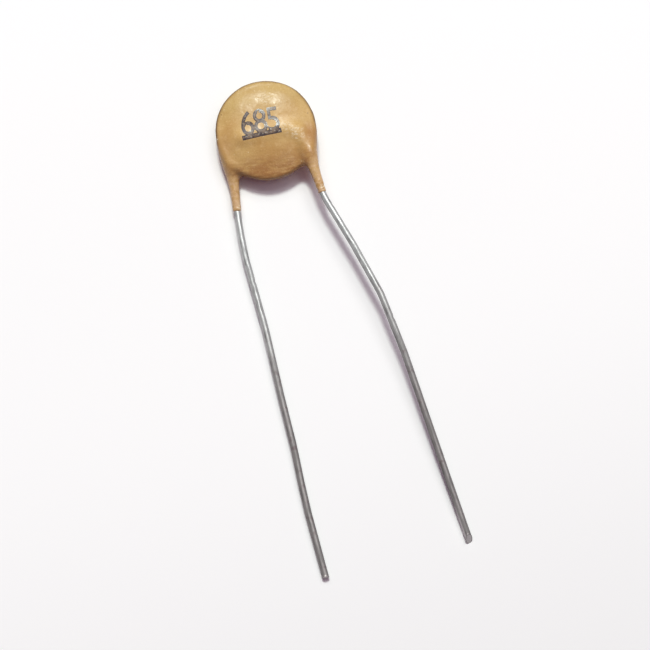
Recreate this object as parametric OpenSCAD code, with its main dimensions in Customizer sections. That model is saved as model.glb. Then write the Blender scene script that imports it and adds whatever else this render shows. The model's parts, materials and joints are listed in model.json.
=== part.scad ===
// Ceramic disc capacitor: a silvered ceramic disc between two hooked wire leads, dipped in a resin coat.
// It lies on its back. The coat rests on the ridge over the back lead, and both lead tips touch the floor.
// Millimetres. +Z is up, +Y runs from the lead tips towards the disc, and the origin is at the bottom centre.

/* [Ceramic disc] */
// Diameter of the bare ceramic disc
ceramic_d = 6.5; // [6:0.1:9]
// Thickness of the bare ceramic disc
ceramic_t = 0.4; // [0.2:0.05:0.8]
// Ring of bare ceramic left around each silver electrode
electrode_margin = 0.3; // [0.15:0.05:0.6]
// Thickness of each fired silver electrode
electrode_t = 0.02; // [0.01:0.005:0.05]

/* [Leads] */
// Diameter of the tinned lead wire
lead_d = 0.5; // [0.4:0.05:0.6]
// Distance between the two leads at the dip line, where they leave the coat
lead_pitch = 6.4; // [5:0.05:7.5]
// Length of each lead's wire from the dip line to its cut tip
lead_l = 28.1; // [24:0.1:32]
// Film of solder between each electrode and the wire that lies on it
solder_film = 0.03; // [0.02:0.01:0.08]
// Length of the solder bead along the wire
solder_l = 2.6; // [1.5:0.1:3]
// Width of the solder bead across the wire
solder_w = 0.9; // [0.7:0.05:1.2]
// Height of the solder bead above its electrode
solder_h = 0.4; // [0.3:0.05:0.45]
// Bend radius of the hook that turns each wire across its face of the disc
hook_r = 1.6; // [1.2:0.1:2]
// Height above the disc's centre at which the hook's two straight runs would meet
hook_y = -0.15; // [-0.5:0.05:0.6]
// Slope in degrees of the run across the face, falling towards its free end
hook_slope = 5.4; // [0:0.2:10]
// How far the run across the face goes past the centre of the disc
hook_reach = 1.7; // [1.5:0.1:2.3]
// Splay in degrees of the front lead's coated leg, outwards from straight down
front_splay = 8.3; // [0:0.1:12]
// Splay in degrees of the back lead's coated leg
back_splay = 3.5; // [0:0.1:12]
// Bare wire from the dip line to the first hand bend
bare_neck = 0.45; // [0.4:0.05:1.5]
// Radius of the hand bends in the front lead
front_bend_r = 4; // [2:0.5:6]
// Radius of the hand bends in the back lead
back_bend_r = 16; // [4:1:16]

/* [Coating] */
// Thickness of the coat around the rim of the ceramic disc
coat_rim = 0.5; // [0.4:0.05:0.8]
// Thickness of the coat at the top of each face's dome
coat_face = 0.8; // [0.6:0.02:0.9]
// How far the top of the dome lies above the centre of the disc
dome_rise = 0.35; // [0:0.05:0.6]
// Radius of the rounded edge of the coated disc
coat_edge_r = 0.4; // [0.36:0.02:0.5]
// How far the coat has sagged past the rim between the legs
coat_sag = 0.16; // [0:0.02:0.3]
// Coat around the wire on a face, before it blends into the face
coat_ridge = 0.1; // [0.08:0.01:0.2]
// Reach of the blend between the wire's ridge and the face of the disc
ridge_blend = 0.7; // [0.5:0.1:1.3]
// Reach of the blend in the crotches between the disc and the legs
crotch_blend = 0.9; // [0.4:0.1:1.2]
// Reach of the blend on the outer side of each leg, where it runs up into the disc
shoulder_blend = 1.5; // [0.8:0.1:2]
// Coat around the front lead where its leg leaves the disc
front_leg_coat = 0.18; // [0.08:0.01:0.3]
// Coat around the back lead where its leg leaves the disc
back_leg_coat = 0.2; // [0.08:0.01:0.3]
// Coat around both leads at the dip line
dip_end_coat = 0.06; // [0.04:0.01:0.1]
// Distance from the centre of the disc down to the dip line
dip_y = 5.45; // [5:0.05:7]

/* [Hidden] */

// Hand bends of each lead, from its bare neck to its tip: [share of that length at which the bend lies,
// angle of the wire below it in degrees outwards from straight down]
front_bends = [[0, 20], [0.148, 18], [0.304, 11], [0.474, 8.4]];
back_bends = [
    [0, 1.5], [0.058, -1], [0.123, -5], [0.318, -2.4], [0.506, -3.4], [0.637, -1.2],
    [0.745, -2.4], [0.82, -4.5]
];
// Index of the run in which each lead bends down towards the floor
front_drop_at = 2;
back_drop_at = 0;
// Where in that run the downward bend lies, and its radius
drop_run = 0.8;
drop_r = 6;

lead_r = lead_d / 2;
// Height of a wire's axis over the disc's middle plane
wire_z = ceramic_t / 2 + electrode_t + solder_film + lead_r;
coat_r = ceramic_d / 2 + coat_rim;
// Radius inside which the coated disc keeps its flat faces
flat_r = coat_r - coat_edge_r;

// Straight runs between a lead's hand bends: [length, angle outwards]
function bend_share(bends, i) = i < len(bends) ? bends[i][0] : 1;
function runs_of(bends) = [
    for (i = [0:len(bends) - 1])
        [(bend_share(bends, i + 1) - bend_share(bends, i)) * (lead_l - bare_neck), bends[i][1]]
];
front_runs = runs_of(front_bends);
back_runs = runs_of(back_bends);

// ---- Formed wires ----
// A wire is a list of steps [straight length, bend angle, bend radius, roll of the bend's plane].
// It starts along +Z, bends towards +X at roll 0, and keeps its own frame untwisted.
// Each bend is a hair fatter than the wire, and the straight runs reach a little way into it.
bend_swell = 0.006;
run_bite = 0.03;

module bend_tube(angle, radius, d) {
    translate([radius, 0, 0]) rotate([90, 0, 0]) rotate([0, 0, 180 - angle])
        rotate_extrude(angle = angle, $fn = 96)
            translate([radius, 0]) circle(d = d + 2 * bend_swell, $fn = 48);
}

module wire(steps, d, i = 0) {
    if (i < len(steps)) {
        run = steps[i][0];
        angle = steps[i][1];
        radius = steps[i][2];
        roll = steps[i][3];
        before = i > 0 ? run_bite : 0;
        after = angle > 0 ? run_bite : 0;
        translate([0, 0, -before]) cylinder(d = d, h = before + run + after, $fn = 48);
        translate([0, 0, run]) rotate([0, 0, roll]) {
            if (angle > 0) bend_tube(angle, radius, d);
            translate([radius, 0, 0]) rotate([0, angle, 0]) translate([-radius, 0, 0])
                rotate([0, 0, -roll]) wire(steps, d, i + 1);
        }
    }
}

function total(list, from = 0) = from >= len(list) ? 0 : list[from] + total(list, from + 1);

// Turns corners, each [distance from the corner before, bend angle, radius, roll], into a wire's steps.
function trim_of(corner) = corner[2] * tan(corner[1] / 2);
function steps_of(corners) = [
    for (i = [0:len(corners) - 1])
        [corners[i][0] - trim_of(corners[i]) - (i > 0 ? trim_of(corners[i - 1]) : 0),
            corners[i][1], corners[i][2], corners[i][3]]
];

// A bend in the plane of the disc, outwards if angle is positive
function plan_corner(length, angle, radius) = [length, abs(angle), radius, angle < 0 ? 180 : 0];

// Where the straight leg, carried up along its splay, meets the run across the face
function corner_x(splay) = lead_pitch / 2 - (dip_y + hook_y) * tan(splay);
function hook_turn(splay) = 90 + hook_slope - splay;

// Corners of one lead, from its inner end to its cut tip.
// end_z is the height of the tip's axis over the disc's middle plane, on this lead's own side.
function lead_corners(splay, runs, bend_r, drop_at, end_z) =
    let (
        heading = runs[drop_at][1],
        after_drop = [for (i = [drop_at:len(runs) - 1]) runs[i][0] * cos(runs[i][1] - heading)],
        drop = asin((end_z - wire_z) / (total(after_drop) - drop_run))
    )
    concat(
        [plan_corner((corner_x(splay) + hook_reach) / cos(hook_slope), -hook_turn(splay), hook_r)],
        [plan_corner((dip_y + hook_y) / cos(splay) + bare_neck, runs[0][1] - splay, bend_r)],
        [
            for (i = [0:len(runs) - 1])
                let (
                    turn = i < len(runs) - 1 ? runs[i + 1][1] - runs[i][1] : 0,
                    bent = i == drop_at,
                    rest = plan_corner(runs[i][0] - (bent ? drop_run : 0), turn, bend_r)
                )
                each (bent ? [[drop_run, abs(drop), drop_r, sign(drop) * 90], rest] : [rest])
        ]
    );

// One lead on the front face, in the disc's own frame
module formed_lead(splay, runs, bend_r, drop_at, end_z) {
    translate([-hook_reach, hook_y - (corner_x(splay) + hook_reach) * tan(hook_slope), wire_z])
        rotate([90, 0, 90 + hook_slope])
            wire(steps_of(lead_corners(splay, runs, bend_r, drop_at, end_z)), lead_d);
}

// Everything on the back is formed as on the front and turned over about the Y axis.
module turned_over() {
    rotate([0, 180, 0]) children();
}

module front_wire() {
    formed_lead(front_splay, front_runs, front_bend_r, front_drop_at, lead_r - rest_z);
}

module back_wire() {
    turned_over() formed_lead(back_splay, back_runs, back_bend_r, back_drop_at, rest_z - lead_r);
}

// ---- Inner pieces, in the disc's own frame ----

module disc_body() {
    cylinder(d = ceramic_d, h = ceramic_t, center = true, $fn = 96);
}

module electrode_film() {
    translate([0, 0, ceramic_t / 2])
        cylinder(d = ceramic_d - 2 * electrode_margin, h = electrode_t, $fn = 96);
}

// A bead along the run across the face: round over the wire's line, flat on the electrode, flat on top
module solder_bead(splay) {
    across = corner_x(splay) + hook_reach;
    bead_x = -hook_reach + (across - hook_r) / 2;
    face_z = ceramic_t / 2 + electrode_t;
    intersection() {
        translate([bead_x, hook_y - (corner_x(splay) - bead_x) * tan(hook_slope), wire_z])
            rotate([90, 0, 90 + hook_slope])
                cylinder(d = solder_w, h = solder_l, center = true, $fn = 48);
        translate([-ceramic_d / 2, -ceramic_d / 2, face_z]) cube([ceramic_d, ceramic_d, solder_h]);
    }
}

// ---- Coating ----
// The coat is the skin where field() is zero. The field is negative inside it, and blends the distance
// to the rounded disc with the distance to the wires, so that the skin flows over the ridges and crotches.

function blend(a, b, reach) =
    let (h = max(reach - abs(a - b), 0) / reach) min(a, b) - h * h * reach / 4;

// Distance in the plane from p to the stretch between a and b
function off_line(p, a, b) =
    let (ab = b - a, t = min(1, max(0, (p - a) * ab / (ab * ab)))) norm(p - a - t * ab);

// The wire's axis inside the coat, from its inner end round the hook and past the dip line
hook_arc_steps = 6;
function inner_route(splay) =
    let (
        corner = [corner_x(splay), hook_y],
        along = [cos(hook_slope), sin(hook_slope)],
        arc_start = corner - hook_r * tan(hook_turn(splay) / 2) * along,
        arc_centre = arc_start + hook_r * [along.y, -along.x],
        leg_end = corner + [sin(splay), -cos(splay)] * ((dip_y + hook_y) / cos(splay) + lead_r)
    )
    concat(
        [[-hook_reach, corner.y - (corner.x + hook_reach) * tan(hook_slope)]],
        [
            for (i = [0:hook_arc_steps])
                let (a = 90 + hook_slope - hook_turn(splay) * i / hook_arc_steps)
                arc_centre + hook_r * [cos(a), sin(a)]
        ],
        [leg_end]
    );

front_route = inner_route(front_splay);
back_route = inner_route(back_splay);

// Depth below the disc's centre at which a leg leaves the coated disc
function leg_top(splay) = sqrt(max(lead_d, coat_r * coat_r - pow(corner_x(splay), 2)));

function tube_field(p, route, splay, leg_coat) =
    let (
        off = min([for (i = [1:len(route) - 1]) off_line([p.x, p.y], route[i - 1], route[i])]),
        skin = lookup(-p.y, [[hook_r, coat_ridge], [leg_top(splay), leg_coat], [dip_y, dip_end_coat]])
    )
    norm([off, p.z - wire_z]) - lead_r - skin;

function disc_field(plan, z) =
    let (
        r = norm(plan),
        inward = 1 - pow(min(1, r / flat_r), 2),
        share = min(1, norm(plan - [0, dome_rise * inward]) / flat_r),
        half = ceramic_t / 2 + coat_face
    )
    norm([max(0, r - flat_r), z]) - half - (coat_edge_r - half) * share * share;

// Place in the disc's plan, which the sag draws out between the legs
function unsagged(p) = [p.x, p.y < 0 ? p.y * coat_r / (coat_r + coat_sag) : p.y];

// Place of a leg's axis at height y, and the reach of the blend beside it: wider on its outer side
function leg_x(splay, y) = corner_x(splay) + (hook_y - y) * tan(splay);
function leg_reach(beside) = lookup(beside, [[-lead_r, crotch_blend], [lead_r, shoulder_blend]]);

function field(p) =
    let (
        plan = unsagged(p),
        front = tube_field(p, front_route, front_splay, front_leg_coat),
        back = tube_field([-p.x, p.y, -p.z], back_route, back_splay, back_leg_coat),
        beside = p.x > 0 ? p.x - leg_x(front_splay, p.y) : -p.x - leg_x(back_splay, p.y),
        rim = [[flat_r - ridge_blend / 2, ridge_blend], [coat_r, leg_reach(beside)]]
    )
    blend(disc_field(plan, p.z), min(front, back), lookup(norm(plan), rim));

// Height of the skin at a point of a face, by halving between a height inside it and one outside
function skin_z(x, y, inside, outside, halvings = 24) =
    let (middle = (inside + outside) / 2)
    halvings == 0 ? middle
        : field([x, y, middle]) < 0 ? skin_z(x, y, middle, outside, halvings - 1)
        : skin_z(x, y, inside, middle, halvings - 1);

// The disc rests on the ridge over the back lead, at the point of that ridge nearest its centre.
rest_z = -skin_z(0, hook_y - corner_x(back_splay) * tan(hook_slope), 0, -2 * wire_z - coat_edge_r);

// The skin's mesh, by surface nets: one point in each cell that the skin passes through, and one
// four-sided patch around each grid edge that it crosses.
coarse_step = 0.26;
fine_step = 0.18;

function spread(from, to, step) =
    let (n = ceil((to - from) / step)) [for (i = [0:n - 1]) from + (to - from) * i / n];

// Grid lines, close together across the legs and the rim and wider over the middle of the disc
side_x = max(coat_r, lead_pitch / 2 + lead_r) + coarse_step;
inner_x = corner_x(front_splay) - lead_d;
grid_x = concat(
    spread(-side_x, -inner_x, fine_step), spread(-inner_x, inner_x, coarse_step),
    spread(inner_x, side_x, fine_step), [side_x]
);
low_y = dip_y + lead_d + dip_end_coat + coarse_step;
grid_y = concat(spread(-low_y, coat_r + coarse_step, coarse_step), [coat_r + coarse_step]);
grid_z = concat(spread(-rest_z - fine_step, rest_z + fine_step, fine_step), [rest_z + fine_step]);

cell_corners = [for (dz = [0, 1]) for (dy = [0, 1]) for (dx = [0, 1]) [dx, dy, dz]];
// Pairs of cell corners that share an edge
cell_edges = [
    for (a = [0:7]) for (axis = [0:2])
        let (step = pow(2, axis)) if (cell_corners[a][axis] == 0) [a, a + step]
];

function average(points) = [
    for (axis = [0:2]) total([for (p = points) p[axis]]) / len(points)
];

// Moves a point onto the skin along the field's slope, which is taken over a short step. The floor keeps
// a point from being thrown far where the field is nearly level.
slope_step = 0.01;
slope_floor = 0.25;
function settle(p, rounds = 3) =
    rounds == 0 ? p
    : let (
        here = field(p),
        slope = [
            for (axis = [[slope_step, 0, 0], [0, slope_step, 0], [0, 0, slope_step]])
                (field(p + axis) - here) / slope_step
        ]
    )
    settle(p - slope * here / max(slope * slope, slope_floor), rounds - 1);

// The net's point in a cell, from the values at its eight corners
function cell_point(x, y, z, values) = settle(average([
    for (e = cell_edges)
        let (a = values[e[0]], b = values[e[1]])
        if ((a < 0) != (b < 0))
            let (c = cell_corners[e[0]], d = cell_corners[e[1]], t = a / (a - b), g = c + t * (d - c))
            [x[0] + g.x * (x[1] - x[0]), y[0] + g.y * (y[1] - y[0]), z[0] + g.z * (z[1] - z[0])]
]));

// Two triangles of a patch, split along its shorter diagonal
function halves(points, q, flip) =
    let (
        f = flip ? [q[3], q[2], q[1], q[0]] : q,
        short = norm(points[f[0]] - points[f[2]]) < norm(points[f[1]] - points[f[3]])
    )
    short ? [[f[0], f[1], f[2]], [f[0], f[2], f[3]]] : [[f[0], f[1], f[3]], [f[1], f[2], f[3]]];

module net_skin(gx, gy, gz) {
    nx = len(gx) - 1;
    ny = len(gy) - 1;
    nz = len(gz) - 1;
    values = [for (z = gz) [for (y = gy) [for (x = gx) field([x, y, z])]]];
    cells = [for (k = [0:nz - 1]) for (j = [0:ny - 1]) for (i = [0:nx - 1]) [i, j, k]];
    corner_values = [
        for (c = cells) [for (d = cell_corners) values[c.z + d.z][c.y + d.y][c.x + d.x]]
    ];
    crossed = [for (v = corner_values) min(v) < 0 && max(v) >= 0];
    points = [
        for (n = [0:len(cells) - 1])
            let (c = cells[n])
            if (crossed[n])
                cell_point([gx[c.x], gx[c.x + 1]], [gy[c.y], gy[c.y + 1]], [gz[c.z], gz[c.z + 1]],
                    corner_values[n])
    ];
    // Place of each cell's point in the list of points
    place = [for (n = 0, count = 0; n < len(cells); count = count + (crossed[n] ? 1 : 0), n = n + 1) count];
    function at(i, j, k) = place[(k * ny + j) * nx + i];
    triangles = [
        for (n = [0:len(cells) - 1])
            let (c = cells[n], v = corner_values[n], i = c.x, j = c.y, k = c.z, low = v[0] < 0)
            if (crossed[n]) each concat(
                low != (v[1] < 0)
                    ? halves(points, [at(i, j - 1, k - 1), at(i, j, k - 1), at(i, j, k), at(i, j - 1, k)], low)
                    : [],
                low != (v[2] < 0)
                    ? halves(points, [at(i - 1, j, k - 1), at(i - 1, j, k), at(i, j, k), at(i, j, k - 1)], low)
                    : [],
                low != (v[4] < 0)
                    ? halves(points, [at(i - 1, j - 1, k), at(i, j - 1, k), at(i, j, k), at(i - 1, j, k)], low)
                    : []
            )
    ];
    polyhedron(points, triangles);
}

// Cuts a coated leg off square at the dip line. The cutter is wider than the leg and longer than its end.
cut_r = 2 * lead_d;
cut_l = 4 * coarse_step;
module leg_cut(splay) {
    translate([lead_pitch / 2, -dip_y, wire_z]) rotate([90, 0, splay])
        cylinder(r = cut_r, h = cut_l, $fn = 48);
}

module on_both_faces() {
    children();
    turned_over() children();
}

// ---- The pieces, laid down ----

// Direction and place of the cut tips, for the part's bounds
function lead_tip(splay, runs) = [lead_pitch / 2 + bare_neck * sin(splay), -dip_y - bare_neck * cos(splay)]
    + [for (axis = [0, 1]) total([for (r = runs) r[0] * (axis == 0 ? sin(r[1]) : -cos(r[1]))])];
front_tip = lead_tip(front_splay, front_runs);
back_tip = lead_tip(back_splay, back_runs);
front_end = front_runs[len(front_runs) - 1][1];
back_end = back_runs[len(back_runs) - 1][1];
centre_x = (front_tip.x + lead_r * cos(front_end) - coat_r) / 2;
centre_y = (back_tip.y - lead_r * sin(abs(back_end)) + coat_r) / 2;

module laid() {
    translate([-centre_x, -centre_y, rest_z]) children();
}

module ceramic_disc() {
    color("Gainsboro") laid() disc_body();
}

module front_electrode() {
    color("Silver") laid() electrode_film();
}

module back_electrode() {
    color("Silver") laid() turned_over() electrode_film();
}

module front_solder() {
    color("LightSlateGray") laid() difference() {
        solder_bead(front_splay);
        front_wire();
    }
}

module back_solder() {
    color("LightSlateGray") laid() difference() {
        turned_over() solder_bead(back_splay);
        back_wire();
    }
}

module front_lead() {
    color("DarkGray") laid() front_wire();
}

module back_lead() {
    color("DarkGray") laid() back_wire();
}

module coating() {
    color("Peru") laid() difference() {
        net_skin(grid_x, grid_y, grid_z);
        disc_body();
        on_both_faces() electrode_film();
        solder_bead(front_splay);
        turned_over() solder_bead(back_splay);
        front_wire();
        back_wire();
        leg_cut(front_splay);
        turned_over() leg_cut(back_splay);
    }
}

ceramic_disc();
front_electrode();
back_electrode();
front_solder();
back_solder();
front_lead();
back_lead();
coating();
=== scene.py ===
"""A ceramic disc capacitor on a pale floor: a dipped resin coat, two formed leads and a stamped number."""

import json
import math

import bpy
from mathutils import Matrix, Vector, kdtree, noise

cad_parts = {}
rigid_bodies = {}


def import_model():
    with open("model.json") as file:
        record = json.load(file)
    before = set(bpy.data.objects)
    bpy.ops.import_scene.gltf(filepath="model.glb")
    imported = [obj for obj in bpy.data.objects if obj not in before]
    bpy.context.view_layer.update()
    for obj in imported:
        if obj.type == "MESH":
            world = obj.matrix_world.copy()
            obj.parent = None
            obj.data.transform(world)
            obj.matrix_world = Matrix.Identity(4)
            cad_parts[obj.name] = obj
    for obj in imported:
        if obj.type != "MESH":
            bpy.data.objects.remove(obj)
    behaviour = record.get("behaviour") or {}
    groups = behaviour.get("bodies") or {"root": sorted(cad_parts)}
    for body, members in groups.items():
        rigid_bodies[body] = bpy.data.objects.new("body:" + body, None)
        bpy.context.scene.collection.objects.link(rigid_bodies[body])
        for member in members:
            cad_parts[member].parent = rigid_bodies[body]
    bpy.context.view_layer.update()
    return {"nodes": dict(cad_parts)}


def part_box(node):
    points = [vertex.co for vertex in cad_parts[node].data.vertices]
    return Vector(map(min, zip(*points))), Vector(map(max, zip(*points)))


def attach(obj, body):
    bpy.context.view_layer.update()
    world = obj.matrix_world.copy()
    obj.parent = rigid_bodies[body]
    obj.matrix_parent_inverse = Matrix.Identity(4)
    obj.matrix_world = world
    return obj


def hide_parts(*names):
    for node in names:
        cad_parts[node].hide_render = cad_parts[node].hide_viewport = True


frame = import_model()

bl_info = {
    "name": "Ceramic disc capacitor",
    "version": (1, 0, 0),
    "blender": (4, 5, 0),
    "location": "View3D > Sidebar > Capacitor",
    "description": "Dresses a packed ceramic disc capacitor with its dipped coat, formed leads and stamp",
    "category": "Object",
}

MM = 0.001

# Centre of the ceramic disc. Places are given from it in millimetres: x towards the front lead's side,
# y away from the leads, z up.
DISC = sum((Vector(corner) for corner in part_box("ceramic_disc")), Vector()) / 2

# Axis of each lead from its inner end to its cut tip: the corners where its straight runs meet, and the
# radius of the bend there.
FRONT_ROUTE = [
    (-1.7, -0.5401, 0.5, 0), (2.4268, -0.15, 0.5, 1.6), (3.265, -5.8953, 0.5, 4), (4.6646, -9.7407, 0.5, 4),
    (5.9975, -13.843, 0.5, 4), (6.1501, -14.6283, 0.5, 6), (6.8924, -18.447, 0.2164, 4),
    (9.0097, -32.7971, -0.8401, 0),
]
BACK_ROUTE = [
    (1.7, -0.5825, -0.5, 0), (-2.8758, -0.15, -0.5, 1.6), (-3.2275, -5.8992, -0.5, 16),
    (-3.2484, -6.6988, -0.5, 6), (-3.2695, -7.5022, -0.5102, 16), (-3.2381, -9.2991, -0.533, 16),
    (-2.7681, -14.67, -0.6012, 16), (-2.5504, -19.8633, -0.6671, 16), (-2.3356, -23.4786, -0.713, 16),
    (-2.2731, -26.4641, -0.7509, 16), (-2.1862, -28.5355, -0.7772, 16), (-1.7957, -33.4969, -0.8401, 0),
]
# Each lead: its CAD node, its finished piece and its axis, how its tip is cut (millimetres back from the end,
# degrees tilted up and turned about the upright), how much painted shade darkens its left and right flanks,
# and how strong the painted highlight on its left flank is near the tip
LEADS = (
    ("front_lead", "front_wire", FRONT_ROUTE, (0.28, 50, 14), (0.75, 0.65), 0.9),
    ("back_lead", "back_wire", BACK_ROUTE, (0.14, 14, -6), (0.25, 0.7), 0.0),
)
# Dents in each lead: the place, how far it is pushed and within what reach
DENTS = {
    "front_wire": (
        ((3.75, -6.7, 0.55), (-0.05, 0, -0.02), 0.22), ((6.6, -15.8, 0.5), (-0.06, 0, -0.02), 0.25),
        # Not a dent: its far part strays inwards, most at the tip
        ((9.05, -32.8, -0.6), (-0.07, 0, 0), 22),
    ),
    "back_wire": (
        ((-2.85, -11.1, -0.45), (-0.06, 0, -0.02), 0.25), ((-2.68, -13.1, -0.45), (-0.05, 0, -0.02), 0.22),
    ),
}

# Soft swell of the coat beyond the front wire: its place, its height and its reach
SWELL = ((1.7, 2.1, 1.0), (0, 0, 0.07), 1.7)
# Chipped places: the ends of the two legs, and the left of the rim
CHIPS = ((3.3, -5.35, 0.78), (-3.0, -5.4, -0.3), (-3.72, -0.1, 0.2))
# Shoulders where the skin is drawn over the legs, and how much painted shade darkens the colour there
SHADED_SHOULDERS = (((3.3, -1.1, 0.5), 0.7), ((-3.3, -1.0, 0.5), 0.45))
# Pale marks: chipped places, and painted highlights. For each, the place, the radii at which the mark begins
# and ends to fade, how pale and how dull it is
CHIPS_AND_HIGHLIGHTS = (
    # Painted highlights along the front wire's hook
    ((1.5, -0.3, 1.0), 0.1, 0.7, 0.5, 0.9), ((2.25, -0.9, 0.9), 0.2, 0.75, 0.6, 1),
    ((2.8, -1.5, 0.8), 0.1, 0.6, 0.15, 1),
    # The ends of the legs and the left of the rim
    ((3.3, -5.3, 0.75), 0.05, 0.35, 0.8, 1), ((-3.0, -5.35, -0.3), 0.05, 0.35, 0.7, 1),
    ((-3.75, -0.1, 0.3), 0.05, 0.25, 0.9, 1),
    # A painted highlight over the stamp; the others only dull the gloss, on the stamp and beside the hook
    # again
    ((0.45, 2.15, 0.9), 0.25, 0.9, 0.25, 0.78), ((-0.7, 2.0, 0.9), 0.2, 0.6, 0, 0.8),
    ((0.4, 0.1, 0.9), 0.5, 0.9, 0, 1), ((0.1, 1.1, 0.95), 0.6, 1.0, 0, 1),
    ((3.0, -1.6, 0.7), 0.2, 0.7, 0, 0.95),
)

# Lower left corner of the digits, over the face that they are then pressed down on, and how far they lean
# against the bar
STAMP_CORNER = (-1.78, -0.48, 2.0)
STAMP_LEAN = math.radians(-2)

# What the camera aims at on the floor, from under the centre of the disc
AIM = (1.601, -15.127, 0)
# Distance of each lamp from the part, in metres
LAMP_DISTANCE = 1.0


def hex_rgba(code):
    """Linear colour of an sRGB hex value."""
    channels = [int(code[i:i + 2], 16) / 255 for i in (0, 2, 4)]
    return [c / 12.92 if c <= 0.04045 else ((c + 0.055) / 1.055) ** 2.4 for c in channels] + [1.0]


def colour_prop(name, description, code):
    return bpy.props.FloatVectorProperty(
        name=name, description=description, default=hex_rgba(code), size=4, subtype="COLOR", min=0, max=1)


def length_prop(name, description, mm):
    return bpy.props.FloatProperty(
        name=name, description=description, default=mm * MM, unit="LENGTH", precision=6)


def angle_prop(name, description, degrees):
    return bpy.props.FloatProperty(
        name=name, description=description, default=math.radians(degrees), subtype="ANGLE")


def power_prop(name, description, watts):
    return bpy.props.FloatProperty(name=name, description=description, default=watts, unit="POWER")


# ---- Materials ----

# Settings that many nodes share
SMOOTH = {"interpolation_type": "SMOOTHSTEP"}
TIMES = {"operation": "MULTIPLY"}


def add_node(tree, kind, inputs=(), **settings):
    """Adds a node with its settings, and sets or links its inputs, given in their order or by name. A node
    given as an input stands for its first output in use."""
    made = tree.nodes.new("ShaderNode" + kind)
    for name, value in settings.items():
        setattr(made, name, value)
    in_use = [socket for socket in made.inputs if socket.enabled]
    for key, value in inputs.items() if isinstance(inputs, dict) else enumerate(inputs):
        socket = in_use[key] if isinstance(key, int) else made.inputs[key]
        if isinstance(value, bpy.types.Node):
            value = next(output for output in value.outputs if output.enabled)
        if isinstance(value, bpy.types.NodeSocket):
            tree.links.new(value, socket)
        else:
            socket.default_value = value
    return made


def new_tree(data):
    """The node tree of a material or world, emptied."""
    data.use_nodes = True
    data.node_tree.nodes.clear()
    return data.node_tree


def new_material(name):
    """A material, its empty node tree, and the output that gives each point's place on the object."""
    material = bpy.data.materials.new(name)
    tree = new_tree(material)
    return material, tree, add_node(tree, "TexCoord").outputs["Object"]


def clouds(tree, where, size, detail=2.0, rough=0.5, stretch=(1, 1, 1)):
    """Noise from 0 to 1 with features size millimetres across, drawn out along each axis by stretch."""
    scaled = add_node(
        tree, "Mapping", {"Vector": where, "Scale": [s * size * MM for s in stretch]}, vector_type="TEXTURE")
    return add_node(tree, "TexNoise", {"Vector": scaled, "Scale": 1.0, "Detail": detail, "Roughness": rough})


def patches(tree, where, size, low, high, least=0.0, most=1.0, **shape):
    """Clouds sharpened into patches: least where the noise is under low, most where it is over high."""
    return add_node(tree, "MapRange", (clouds(tree, where, size, **shape), low, high, least, most), **SMOOTH)


def near(tree, where, place, inner, outer):
    """1 inside a ball of inner millimetres round a place on the disc, falling to 0 at outer."""
    away = add_node(tree, "VectorMath", (where, DISC + Vector(place) * MM), operation="DISTANCE")
    return add_node(tree, "MapRange", (away, inner * MM, outer * MM, 1, 0), **SMOOTH)


def overlay(tree, under, over, *shares):
    """The under colour with the over colour laid on it by the product of the shares."""
    share = shares[0]
    for factor in shares[1:]:
        share = add_node(tree, "Math", (share, factor), **TIMES)
    return add_node(tree, "Mix", (share, under, over), data_type="RGBA")


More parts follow.
